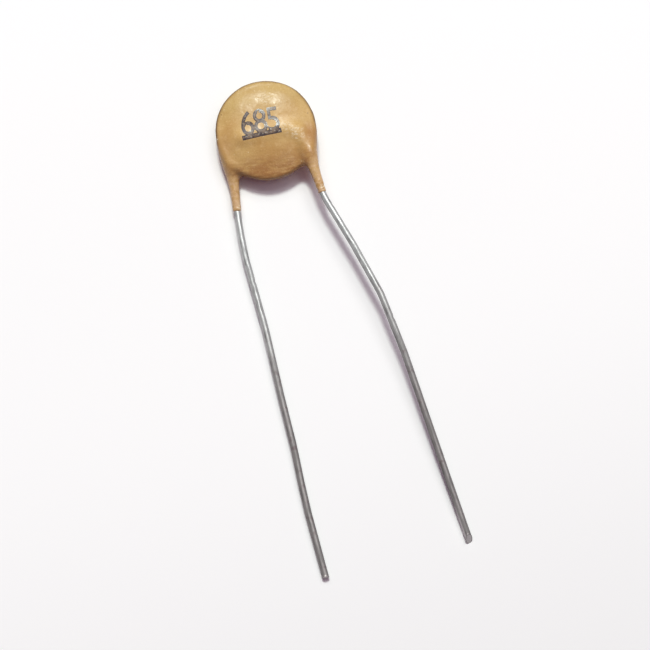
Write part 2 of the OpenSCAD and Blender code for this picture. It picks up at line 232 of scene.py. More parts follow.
def dipped_resin(props):
    """Dipped phenolic resin, waxed: an opaque ochre skin, mottled where the dip ran, with dust specks under a
    soft gloss. The eye gets a warm, uneven pottery look with a broad highlight broken by orange peel."""
    material, tree, where = new_material("dipped_phenolic_resin")
    place = add_node(tree, "SeparateXYZ", {"Vector": where})
    upward = place.outputs["Y"]
    flat = add_node(tree, "VectorMath", (where, (1, 1, 0)), **TIMES)
    radius = add_node(tree, "VectorMath", (flat, (DISC.x, DISC.y, 0)), operation="DISTANCE")

    # Runs of the dip, 2 mm across, and finer clouds in it
    colour = overlay(tree, props.colour, props.deep_colour, patches(tree, where, 2.0, 0.35, 0.7))
    finer = patches(tree, where, 0.5, 0.5, 0.75, most=0.45, detail=3)
    colour = overlay(tree, colour, props.pale_colour, finer)
    # The resin ran down and stands thicker and browner where it sagged between the legs, in level streaks.
    # The darkening towards the bottom is also painted shade for the lower face, which turns away from the
    # light
    streak = clouds(tree, where, 0.28, detail=3, rough=0.6, stretch=(3, 1, 1))
    sag_and_painted_shade = add_node(tree, "MapRange", (upward, DISC.y - 1.3 * MM, DISC.y - 3.3 * MM, 0, 0.95), **SMOOTH)
    off_legs = add_node(tree, "MapRange", (radius, 3.9 * MM, 4.6 * MM, 1, 0.45), **SMOOTH)
    sag_and_painted_shade = add_node(tree, "Math", (sag_and_painted_shade, off_legs), **TIMES)
    streaked = add_node(tree, "MapRange", (streak, 0.3, 0.6, 0.45, 1), **SMOOTH)
    colour = overlay(tree, colour, props.sag_and_shade_colour, sag_and_painted_shade, streaked)
    # Painted shade: towards the top the colour is tinted darker and a little greener, to tone down the light
    # on the top of the face
    painted_shade_top = add_node(tree, "MapRange", (upward, DISC.y + 0.4 * MM, DISC.y + 2.2 * MM, 0, 0.5), **SMOOTH)
    colour = overlay(tree, colour, hex_rgba("B49A5C"), painted_shade_top)
    # It is scuffed paler in spots down the legs
    on_legs = add_node(tree, "MapRange", (radius, 3.9 * MM, 4.8 * MM), **SMOOTH)
    scuffs = patches(tree, where, 0.32, 0.35, 0.62, most=0.62, detail=3, rough=0.6)
    colour = overlay(tree, colour, hex_rgba("D9B690"), on_legs, scuffs)
    # Fine grain of the filler in the resin, both darker and paler
    filler = clouds(tree, where, 0.11, detail=3, rough=0.7)
    for code, low, high, most in (("A87B45", 0.52, 0.72, 0.4), ("E6C690", 0.46, 0.3, 0.35)):
        grains = add_node(tree, "MapRange", (filler, low, high, 0, most), **SMOOTH)
        colour = overlay(tree, colour, hex_rgba(code), grains)
    # The skin is thin and dark round the equator of the rim. The darkening there is also painted shade for
    # the dark reflection along the rim's outline, most of all at the top
    off_middle = add_node(tree, "Math", (place.outputs["Z"], DISC.z), operation="SUBTRACT")
    off_middle = add_node(tree, "Math", (off_middle,), operation="ABSOLUTE")
    thin_rim_and_painted_edge = add_node(tree, "MapRange", (off_middle, 0.18 * MM, 0.38 * MM, 1, 0), **SMOOTH)
    for limit in (
            patches(tree, where, 0.5, 0.3, 0.6, least=0.75),
            add_node(tree, "MapRange", (upward, DISC.y - 1.5 * MM, DISC.y + 0.5 * MM, 0.35, 1), **SMOOTH),
            add_node(tree, "MapRange", (radius, 4.15 * MM, 3.95 * MM), **SMOOTH)):
        thin_rim_and_painted_edge = add_node(tree, "Math", (thin_rim_and_painted_edge, limit), **TIMES)
    colour = overlay(tree, colour, hex_rgba("644422"), thin_rim_and_painted_edge)
    # Painted shade: deeper colour in the creases where the legs meet the disc
    for spot, share in SHADED_SHOULDERS:
        colour = overlay(tree, colour, props.sag_and_shade_colour, near(tree, where, spot, 0.2, 1.3), share)
    # Pale crazed marks, which have lost their gloss: chips at the ends of the legs and the rim, and painted
    # highlights along the hook and over the stamp
    crazed = patches(tree, where, 0.12, 0.47, 0.6, detail=3, rough=0.65, stretch=(1.6, 1, 1))
    rubbed = thin_rim_and_painted_edge
    for spot, inner, outer, pale, dull in CHIPS_AND_HIGHLIGHTS:
        mark = near(tree, where, spot, inner, outer)
        colour = overlay(tree, colour, hex_rgba("F0E2C4"), mark, crazed, pale)
        worn = add_node(tree, "Math", (near(tree, where, spot, inner, 1.4 * outer), dull), **TIMES)
        rubbed = add_node(tree, "Math", (rubbed, worn), operation="MAXIMUM")
    # Dust under the wax: dark and pale specks about 0.1 mm wide, some ten on a face
    for spacing, reach, code, share in ((0.8, 0.11, "7A5630", 0.6), (0.6, 0.1, "F2E2BF", 0.45)):
        cells = add_node(tree, "TexVoronoi", {"Vector": where, "Scale": 1 / (spacing * MM)})
        speck = add_node(tree, "MapRange", (cells, 0.4 * reach, reach, share, 0), **SMOOTH)
        lot = add_node(tree, "SeparateColor", {"Color": cells.outputs["Color"]})
        kept = add_node(tree, "MapRange", (lot, 0.6, 0.65), **SMOOTH)
        colour = overlay(tree, colour, hex_rgba(code), speck, kept)

    # The streaks stand up a little, with orange peel and the grain of the filler over them
    ridges = add_node(tree, "Math", (streak, sag_and_painted_shade), **TIMES)
    level = add_node(tree, "Bump", {"Strength": 0.5, "Distance": 0.03 * MM, "Height": ridges})
    peel = add_node(tree, "Bump", {
        "Strength": 0.5, "Distance": 0.02 * MM, "Height": clouds(tree, where, 0.17), "Normal": level})
    fine = add_node(tree, "Bump", {"Strength": 0.4, "Distance": 0.006 * MM, "Height": filler, "Normal": peel})
    sheen = patches(tree, where, 0.7, 0.3, 0.7, least=0.27, most=0.36)
    for marks, roughest in ((thin_rim_and_painted_edge, 0.9), (rubbed, 0.58)):
        dulled = add_node(tree, "Math", (marks, roughest), **TIMES)
        sheen = add_node(tree, "Math", (sheen, dulled), operation="MAXIMUM")
    skin = add_node(tree, "BsdfPrincipled", {
        "Base Color": colour, "Roughness": sheen, "IOR": 1.5, "Normal": fine})
    add_node(tree, "OutputMaterial", {"Surface": skin})
    return material


def tinned_wire(props):
    """Tinned copper-clad steel wire, drawn and then handled: bright and streaked along its length next to the
    coat, where the tin is fresh, and dull brown-grey with finger oxide towards the cut tips."""
    material, tree, where = new_material("drawn_tinned_wire")
    along = add_node(tree, "SeparateXYZ", {"Vector": where}).outputs["Y"]
    wander = add_node(tree, "Math", (clouds(tree, where, 2.5), 0.5), operation="SUBTRACT")
    wander = add_node(tree, "Math", (wander, 6 * MM), **TIMES)
    along = add_node(tree, "Math", (along, wander), operation="ADD")
    aged = add_node(tree, "MapRange", (along, DISC.y - 8 * MM, DISC.y - 23 * MM), **SMOOTH)

    drawn, shaded_flank, bare = (
        add_node(tree, "Attribute", attribute_name=name).outputs[output]
        for name, output in (("drawn", "Vector"), ("shaded_flank", "Fac"), ("bare", "Fac")))
    colour = overlay(tree, props.colour, props.aged_colour, aged)
    # Grooves of the drawing die, fine ones and coarse ones
    groove = clouds(tree, drawn, 0.07, stretch=(1, 12, 1))
    colour = overlay(tree, colour, hex_rgba("757373"), add_node(
        tree, "MapRange", (groove, 0.45, 0.7, 0, 0.35), **SMOOTH))
    colour = overlay(tree, colour, hex_rgba("5C5A5A"), patches(
        tree, drawn, 0.16, 0.5, 0.66, most=0.5, stretch=(1, 9, 1)))
    # Painted shade: the flanks, which the camera sees edge-on, are darkened
    colour = overlay(tree, colour, hex_rgba("4A4848"), shaded_flank)
    # Brown oxide in small blotches, more of it towards the tips
    blotch = patches(tree, where, 0.6, 0.52, 0.72, detail=3, rough=0.6)
    colour = overlay(
        tree, colour, hex_rgba("6E5C60"), blotch, add_node(tree, "MapRange", (aged, 0, 1, 0.15, 0.6)))
    # The cutter laid the steel bare at the tips, and a painted highlight lightens the left flank of one near
    # its tip
    colour = overlay(tree, colour, hex_rgba("BAB3B5"), bare)
    roughness = add_node(tree, "MapRange", (aged, 0, 1, 0.34, 0.48))
    for more in (
            add_node(tree, "MapRange", (groove, 0.3, 0.7, -0.05, 0.06), **SMOOTH),
            add_node(tree, "Math", (bare, 0.15), **TIMES)):
        roughness = add_node(tree, "Math", (roughness, more), operation="ADD")
    lines = add_node(tree, "Bump", {"Strength": 0.4, "Distance": 0.008 * MM, "Height": groove})
    dings = add_node(tree, "Bump", {
        "Strength": 0.5, "Distance": 0.02 * MM, "Height": clouds(tree, where, 0.45), "Normal": lines})
    metal = add_node(tree, "BsdfPrincipled", {
        "Base Color": colour, "Metallic": 1.0, "Roughness": roughness, "Normal": dings})
    add_node(tree, "OutputMaterial", {"Surface": metal})
    return material


def stamp_ink(props):
    """Stamped ink, black with a violet cast. The type squeezed it out to the edges of the strokes, so the eye
    sees dark outlines with thin, brownish middles. Pale painted glints stand for light caught where the film
    wrinkled as it dried."""
    material, tree, where = new_material("stamped_ink")
    edge = add_node(tree, "Attribute", attribute_name="edge").outputs["Fac"]
    middle = add_node(tree, "Math", (1.0, edge), operation="SUBTRACT")
    worn = patches(tree, where, 0.3, 0.36, 0.6, most=0.8, detail=3, rough=0.6)
    thin = add_node(tree, "Math", (middle, worn), **TIMES)
    colour = overlay(tree, props.colour, hex_rgba("87705A"), thin)
    wrinkle = clouds(tree, where, 0.13)
    # Painted glints: pale flecks of colour where the wrinkled film catches the light
    painted_glint = add_node(tree, "MapRange", (wrinkle, 0.6, 0.68, 0, 0.6), **SMOOTH)
    colour = overlay(tree, colour, hex_rgba("CFCBBF"), middle, painted_glint)
    roughness = add_node(tree, "MapRange", (thin, 0, 0.7, 0.25, 0.45), **SMOOTH)
    bump = add_node(tree, "Bump", {"Strength": 0.6, "Distance": 0.012 * MM, "Height": wrinkle})
    ink = add_node(tree, "BsdfPrincipled", {
        "Base Color": colour, "Roughness": roughness, "IOR": 1.5, "Normal": bump})
    add_node(tree, "OutputMaterial", {"Surface": ink})
    return material


def fired_ceramic(props):
    """Fired barium titanate: chalky, pale buff, with a fine sinter grain."""
    material, tree, where = new_material("fired_barium_titanate")
    colour = overlay(
        tree, props.ceramic_colour, hex_rgba("CBBFA6"), patches(tree, where, 0.3, 0.35, 0.7, detail=4))
    sinter = clouds(tree, where, 0.06, detail=3)
    bump = add_node(tree, "Bump", {"Strength": 0.4, "Distance": 0.01 * MM, "Height": sinter})
    body = add_node(tree, "BsdfPrincipled", {
        "Base Color": colour, "Roughness": 0.75, "IOR": 1.6, "Normal": bump})
    add_node(tree, "OutputMaterial", {"Surface": body})
    return material


def silver_paste(props):
    """Fired silver paste: a matt white metal film, mottled where the screen printed it."""
    material, tree, where = new_material("fired_silver_paste")
    mottle = clouds(tree, where, 0.25, detail=3)
    colour = overlay(tree, props.silver_colour, hex_rgba("97928A"), add_node(
        tree, "MapRange", (mottle, 0.4, 0.65), **SMOOTH))
    roughness = add_node(tree, "MapRange", (mottle, 0.3, 0.7, 0.55, 0.7), **SMOOTH)
    weave = clouds(tree, where, 0.05)
    bump = add_node(tree, "Bump", {"Strength": 0.3, "Distance": 0.006 * MM, "Height": weave})
    film = add_node(tree, "BsdfPrincipled", {
        "Base Color": colour, "Metallic": 1.0, "Roughness": roughness, "Normal": bump})
    add_node(tree, "OutputMaterial", {"Surface": film})
    return material


def soft_solder(props):
    """Tin solder that wetted the wire and froze: satin grey with shallow ripples and flux-dulled patches."""
    material, tree, where = new_material("tin_solder")
    dull = patches(tree, where, 0.5, 0.4, 0.7, detail=3)
    colour = overlay(tree, props.solder_colour, hex_rgba("8C8A88"), dull)
    roughness = add_node(tree, "MapRange", (dull, 0, 1, 0.28, 0.5), **SMOOTH)
    ripples = clouds(tree, where, 0.3)
    bump = add_node(tree, "Bump", {"Strength": 0.4, "Distance": 0.02 * MM, "Height": ripples})
    bead = add_node(tree, "BsdfPrincipled", {
        "Base Color": colour, "Metallic": 1.0, "Roughness": roughness, "Normal": bump})
    add_node(tree, "OutputMaterial", {"Surface": bead})
    return material


def white_paper(props, across, away):
    """Matt white paper, with painted shade that dims it a little towards the near right corner. It throws a
    little less light back on the part than the eye sees on it, so the undersides don't glow."""
    material, tree, where = new_material("white_paper")
    path = add_node(tree, "LightPath")
    seen = path.outputs["Is Camera Ray"]
    for kind in ("Is Glossy Ray", "Is Transmission Ray"):
        seen = add_node(tree, "Math", (seen, path.outputs[kind]), operation="MAXIMUM")
    reach = add_node(tree, "VectorMath", (where, 0.35 * across - away), operation="DOT_PRODUCT")
    painted_falloff = add_node(tree, "MapRange", (reach, -2 * MM, 40 * MM), **SMOOTH)
    paper = overlay(tree, props.floor_colour, props.floor_shade_colour, painted_falloff)
    shade = overlay(tree, hex_rgba("E8E8E8"), paper, seen)
    matt = add_node(tree, "BsdfDiffuse", {"Color": shade})
    add_node(tree, "OutputMaterial", {"Surface": matt})
    return material


def studio(props):
    """Surroundings that are white to the camera. They light the part only dimly and with a tint, which the
    shadows take on, and metal and gloss mirror them brighter."""
    world = bpy.data.worlds.new("studio")
    tree = new_tree(world)
    path = add_node(tree, "LightPath")
    direct, through, glossy = (
        path.outputs[f"Is {kind} Ray"] for kind in ("Camera", "Transmission", "Glossy"))
    seen = add_node(tree, "Math", (direct, through), operation="MAXIMUM")
    mirrored = add_node(tree, "MapRange", (glossy, 0, 1, props.fill, props.reflected))
    strength = add_node(tree, "Mix", (seen, mirrored, 1.0), data_type="FLOAT")
    white = add_node(tree, "Math", (seen, glossy), operation="MAXIMUM")
    tint = overlay(tree, props.fill_colour, hex_rgba("FFFFFF"), white)
    sky = add_node(tree, "Background", {"Color": tint, "Strength": strength})
    add_node(tree, "OutputWorld", {"Surface": sky})
    return world


# ---- Modelling ----

# Points closer than this become one
WELD = 0.0005 * MM


def select_only(*objects):
    """Object mode, with just these objects selected and the last one active."""
    active = bpy.context.view_layer.objects.active
    if active and active.mode != "OBJECT":
        bpy.ops.object.mode_set(mode="OBJECT")
    bpy.ops.object.select_all(action="DESELECT")
    for o in objects:
        o.select_set(True)
        bpy.context.view_layer.objects.active = o


def edit(piece, kind="FACE", action="DESELECT"):
    """Edit mode on a piece, with nothing selected, or with SELECT everything."""
    select_only(piece)
    bpy.ops.object.mode_set(mode="EDIT")
    bpy.ops.mesh.select_mode(type=kind)
    bpy.ops.mesh.select_all(action=action)


def pick(piece, test, kind="FACE"):
    """Selects the faces, or with VERT the vertices, that pass the test, and stays in edit mode."""
    edit(piece, kind)
    bpy.ops.object.mode_set(mode="OBJECT")
    for part in piece.data.polygons if kind == "FACE" else piece.data.vertices:
        part.select = test(part)
    bpy.ops.object.mode_set(mode="EDIT")


def cut_away(piece, test):
    """Deletes the faces that pass the test."""
    pick(piece, test)
    bpy.ops.mesh.delete(type="FACE")
    bpy.ops.object.mode_set(mode="OBJECT")


def modify(piece, kind, **settings):
    """Adds a modifier with its settings and applies it."""
    select_only(piece)
    made = piece.modifiers.new(kind.lower(), kind)
    for name, value in settings.items():
        setattr(made, name, value)
    bpy.ops.object.modifier_apply(modifier=made.name)


def ruffle(piece, size, height, group="", depth=2, stretch=(1, 1, 1)):
    """Moves the skin in and out by a noise with features size millimetres across, drawn out along each axis
    by stretch. height is in metres, as the properties are."""
    texture = bpy.data.textures.new(piece.name + "_clouds", "CLOUDS")
    texture.noise_scale = size * MM
    texture.noise_depth = depth
    select_only()
    bpy.ops.object.empty_add()
    frame_of_noise = bpy.context.object
    frame_of_noise.scale = stretch
    modify(piece, "DISPLACE", texture=texture, texture_coords="OBJECT", texture_coords_object=frame_of_noise,
           strength=height, mid_level=0.5, vertex_group=group)
    bpy.data.objects.remove(frame_of_noise)


def paint_group(piece, name, weight):
    """Makes a vertex group from a weight for each place, in millimetres from the disc."""
    group = piece.vertex_groups.new(name=name)
    for v in piece.data.vertices:
        w = weight((v.co - DISC) / MM)
        if w > 0.001:
            group.add([v.index], min(1.0, w), "REPLACE")
    return name


def falloff(distance, inner, outer):
    """1 within inner, 0 beyond outer, smooth between."""
    t = min(1.0, max(0.0, (outer - distance) / (outer - inner)))
    return t * t * (3 - 2 * t)


def rest_on_floor(piece):
    """Brings up to the floor what the modelling has pushed under it."""
    for v in piece.data.vertices:
        v.co.z = max(v.co.z, 0.0)


def seat(piece, material, sharp_above):
    """Gives a finished piece its shading, its material and the body it rides on. Edges
    sharper than so many degrees stay sharp."""
    select_only(piece)
    bpy.ops.object.shade_smooth_by_angle(angle=math.radians(sharp_above))
    piece.data.materials.clear()
    piece.data.materials.append(material)
    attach(piece, "root")


def redress(node, material):
    """Gives a CAD node a better material."""
    slots = frame["nodes"][node].data.materials
    slots.clear()
    slots.append(material)


def formed_wire(name, route, props):
    """A wire formed by hand: a ring of points drawn along each straight run and spun round each bend. It is
    left long at the tip."""
    corners = [DISC + Vector(c[:3]) * MM for c in route]
    heading = (corners[1] - corners[0]).normalized()
    select_only()
    bpy.ops.mesh.primitive_circle_add(
        vertices=props.sides, radius=props.diameter / 2, location=corners[0],
        rotation=heading.to_track_quat("Z", "Y").to_euler())
    wire = bpy.context.object
    wire.name = wire.data.name = name
    bpy.ops.object.transform_apply(location=True, rotation=True, scale=True)
    edit(wire, "EDGE", "SELECT")
    here = corners[0]
    for i in range(1, len(corners)):
        run = (corners[i] - corners[i - 1]).normalized()
        last = i == len(corners) - 1
        onward = run if last else (corners[i + 1] - corners[i]).normalized()
        turn, radius = run.angle(onward), route[i][3] * MM
        trim = radius * math.tan(turn / 2)
        span = corners[i] - run * trim - here
        if last:
            span += run * props.spare
        rings = max(1, round(span.length / props.ring_step))
        for _ in range(rings):
            bpy.ops.mesh.extrude_region_move(TRANSFORM_OT_translate={"value": span / rings})
        if not last:
            axis = run.cross(onward).normalized()
            centre = here + span + axis.cross(run) * radius
            steps = max(2, round(turn * radius / props.ring_step))
            bpy.ops.mesh.spin(steps=steps, angle=-turn, center=centre, axis=axis)
            here = corners[i] + onward * trim
    bpy.ops.mesh.select_all(action="SELECT")
    bpy.ops.mesh.remove_doubles(threshold=WELD)
    bpy.ops.mesh.fill_holes(sides=0)
    bpy.ops.mesh.select_all(action="SELECT")
    bpy.ops.mesh.normals_make_consistent(inside=False)
    bpy.ops.object.mode_set(mode="OBJECT")
    return wire


def paint_wire(wire, left, right, flank_highlight, radius):
    """Marks the painted shade on each flank, where the steel is bare at the cut, the painted highlight on the
    left flank near the tip, and where each point lies on the wire drawn straight, for the wire's material.
    The faces of the cut are the ones left selected. left and right are how much painted shade darkens each
    flank; the third amount is how strong the painted highlight on the left flank is at the tip, and it fades
    out 3 mm from there."""
    cut = {i for face in wire.data.polygons if face.select for i in face.vertices}
    end = min(v.co.y for v in wire.data.vertices)
    shaded_flank = wire.data.attributes.new("shaded_flank", "FLOAT", "POINT")
    bare = wire.data.attributes.new("bare", "FLOAT", "POINT")
    drawn = wire.data.attributes.new("drawn", "FLOAT_VECTOR", "POINT")
    for v, f, b, d in zip(wire.data.vertices, shaded_flank.data, bare.data, drawn.data):
        painted_highlight = flank_highlight * falloff(v.co.y - end, 1.6 * MM, 3.2 * MM) * falloff(v.normal.x, -0.75, -0.4)
        b.value = 1.0 if v.index in cut else painted_highlight
        sideways = falloff(v.normal.z, 0.3, 0.8) * falloff(abs(v.normal.y), 0.5, 0.8)
        f.value = (left if v.normal.x < 0 else right) * sideways * (1.0 - b.value)
        d.vector = (v.normal.x * radius, v.co.y, v.normal.z * radius)


def paint_edge(piece, inner, outer):
    """Marks how near each point is to an open edge, from 1 within inner millimetres to 0 beyond outer, which
    the piece's material reads."""
    used = {}
    for face in piece.data.polygons:
        for key in face.edge_keys:
            used[key] = used.get(key, 0) + 1
    rim = {i for key, count in used.items() if count == 1 for i in key}
    tree = kdtree.KDTree(len(rim))
    for i in rim:
        tree.insert(piece.data.vertices[i].co, i)
    tree.balance()
    mark = piece.data.attributes.new("edge", "FLOAT", "POINT")
    for v, m in zip(piece.data.vertices, mark.data):
        m.value = falloff(tree.find(v.co)[2] / MM, inner, outer)


def press(piece, place, push, reach):
    """Moves the surface nearest to a place by push, less and less within reach of it, all in millimetres."""
    spot = DISC + Vector(place) * MM
    nearest = min(piece.data.vertices, key=lambda v: (v.co - spot).length).index
    pick(piece, lambda v: v.index == nearest, "VERT")
    bpy.ops.transform.translate(
        value=Vector(push) * MM, use_proportional_edit=True, use_proportional_connected=True,
        proportional_edit_falloff="SMOOTH", proportional_size=reach * MM)
    bpy.ops.object.mode_set(mode="OBJECT")


def clip_tip(wire, route, back_off, tilt, turn):
    """Cuts the tip off along a slanting plane, as a side cutter does: back_off millimetres behind the end on
    the axis, its normal tilted up from the wire and turned about the upright, in degrees. The cut's edge is
    left with a burr, and its faces are left selected."""
    tip, before = (DISC + Vector(route[i][:3]) * MM for i in (-1, -2))
    heading = (tip - before).normalized()
    side = heading.cross(Vector((0, 0, 1))).normalized()
    normal = (
        Matrix.Rotation(math.radians(turn), 3, "Z") @ Matrix.Rotation(math.radians(tilt), 3, side) @ heading)
    edit(wire, "VERT", "SELECT")
    bpy.ops.mesh.bisect(
        plane_co=tip - heading * back_off * MM, plane_no=normal, clear_outer=True, threshold=WELD)
    bpy.ops.mesh.select_all(action="DESELECT")
    bpy.ops.mesh.select_non_manifold(
        use_wire=False, use_boundary=True, use_multi_face=False, use_non_contiguous=False, use_verts=False)
    bpy.ops.mesh.remove_doubles(threshold=0.012 * MM)
    # A burr that stands out a little, a groove inside it and a raised middle
    bpy.ops.transform.resize(value=(1.05, 1.05, 1.05))
    bpy.ops.mesh.edge_face_add()
    bpy.ops.mesh.select_mode(type="FACE")
    bpy.ops.mesh.inset(thickness=0.025 * MM, depth=-0.012 * MM)
    bpy.ops.mesh.inset(thickness=0.06 * MM, depth=0.015 * MM)
    bpy.ops.object.mode_set(mode="OBJECT")


def add_lamp(name, azimuth, elevation, width, depth, power, colour=(1, 1, 1)):
    """Panel lamp aimed at the part, at an azimuth clockwise from +Y seen from above."""
    upright = Vector((0, math.cos(elevation), math.sin(elevation))) * LAMP_DISTANCE
    place = Matrix.Rotation(-azimuth, 3, "Z") @ upright
    bpy.ops.object.light_add(type="AREA", location=place)
    light = bpy.context.object
    light.name = name
    light.data.shape = "RECTANGLE"
    light.data.size = width
    light.data.size_y = depth
    light.data.energy = power
    light.data.color = colour
    light.rotation_euler = place.to_track_quat("Z", "Y").to_euler()


# ---- The pieces ----

class CAPACITOR_PG_coat(bpy.types.PropertyGroup):
    colour: colour_prop("Colour", "Colour of the dipped resin", "CDA86A")
    deep_colour: colour_prop("Deep colour", "Colour where the dip ran thick", "BF9456")
    pale_colour: colour_prop("Pale colour", "Colour of the paler clouds in the resin", "DDBB86")
    # Partly painted shade: this colour darkens the lower face and the shoulders
    sag_and_shade_colour: colour_prop("Sag colour", "Colour of the thick resin between the legs", "A2703F")
    grain: length_prop("Grain", "Size of the facets that the skin is resampled to", 0.055)
    unevenness: length_prop("Unevenness", "Height of the broad swells of the dip", 0.05)
    peel: length_prop("Orange peel", "Height of the orange peel", 0.014)
    crinkle: length_prop("Crinkle", "Height of the wrinkles near the top of the front face", 0.065)
    ripple: length_prop("Ripple", "Height of the level ripples along the sag", 0.036)
    lumps: length_prop("Lumps", "Height of the lumps down the legs", 0.06)
    chips: length_prop("Chips", "Height of the broken surface at the chipped places", 0.08)


class CAPACITOR_PG_leads(bpy.types.PropertyGroup):
    diameter: length_prop("Diameter", "Diameter of the wire", 0.5)
    ring_step: length_prop("Ring step", "Distance between the rings of points along the wire", 0.12)
    sides: bpy.props.IntProperty(name="Sides", description="Points in each ring", default=36, min=12, max=64)
    spare: length_prop("Spare", "Length left over at the tip for the side cutter to take off", 0.6)
    unevenness: length_prop("Unevenness", "Height of the bumps of a wire straightened by hand", 0.012)
    colour: colour_prop("Colour", "Colour of the fresh tin next to the coat", "CECECE")
    aged_colour: colour_prop("Aged colour", "Colour of the handled tin towards the tips", "948E8E")


class CAPACITOR_PG_stamp(bpy.types.PropertyGroup):
    number: bpy.props.StringProperty(
        name="Number", description="The plain number that is stamped", default="685")
    width: length_prop("Width", "Width of the whole number", 2.85)
    height: length_prop("Height", "Height of the digits", 1.9)
    bar: length_prop("Bar", "Thickness of the bar under the digits", 0.34)
    slope: angle_prop("Slope", "Turn of the stamp on the face", 1.6)
    facet: length_prop("Facet", "Size of the facets of the ink", 0.019)
    ragged: length_prop("Raggedness", "Height of the unevenness at the edges of the strokes", 0.03)
    film: length_prop("Film", "Thickness of the ink", 0.012)
    colour: colour_prop("Colour", "Colour of the ink", "42383C")


class CAPACITOR_PG_inside(bpy.types.PropertyGroup):
    ceramic_colour: colour_prop("Ceramic", "Colour of the fired ceramic", "E4DAC4")
    silver_colour: colour_prop("Silver", "Colour of the fired silver paste", "BEBBB3")
    solder_colour: colour_prop("Solder", "Colour of the solder", "B4B4B6")


class CAPACITOR_PG_stage(bpy.types.PropertyGroup):
    view_azimuth: angle_prop("View azimuth", "Turn of the view, clockwise from above", 10.75)
    view_elevation: angle_prop("View elevation", "Angle at which the camera looks down on the floor", 80)
    view_distance: length_prop("View distance", "Distance from the camera to what it aims at", 170)
    lens: bpy.props.FloatProperty(name="Lens", description="Focal length", default=127.765, unit="CAMERA")
    key_azimuth: angle_prop("Key azimuth", "Turn of the main lamp from the far side of the view", -5)
    key_elevation: angle_prop("Key elevation", "Angle of the main lamp above the floor", 53)
    key_power: power_prop("Key power", "Power of the main lamp", 6.53)
    key_colour: colour_prop("Key colour", "Colour of the main lamp", "F5FFF6")
    scrim_power: power_prop(
        "Scrim power", "Power of the wide scrim round the main lamp, which fills thin shadows", 4.7)
    softbox_azimuth: angle_prop("Softbox azimuth", "Turn of the soft lamp from the far side of the view", 80)
    softbox_elevation: angle_prop("Softbox elevation", "Angle of the soft lamp above the floor", 62)
    softbox_power: power_prop(
        "Softbox power", "Power of the soft lamp, which lines the wires with light", 1.0)
    fill: bpy.props.FloatProperty(
        name="Fill", description="Strength of the even light from all round", default=0.125, min=0)
    fill_colour: colour_prop("Fill colour", "Colour of the even light, which tints the shadows", "FFBCF0")
    reflected: bpy.props.FloatProperty(
        name="Reflected", description="Strength of the surroundings that the metal and the gloss mirror",
        default=0.5, min=0)
    floor_colour: colour_prop("Floor", "Colour of the floor on the far side", "FCFCFC")
    # Painted shade: the floor dims towards this colour at the near right corner
    floor_shade_colour: colour_prop(
        "Floor, near side", "Colour of the floor towards the near right corner", "F2F2F2")


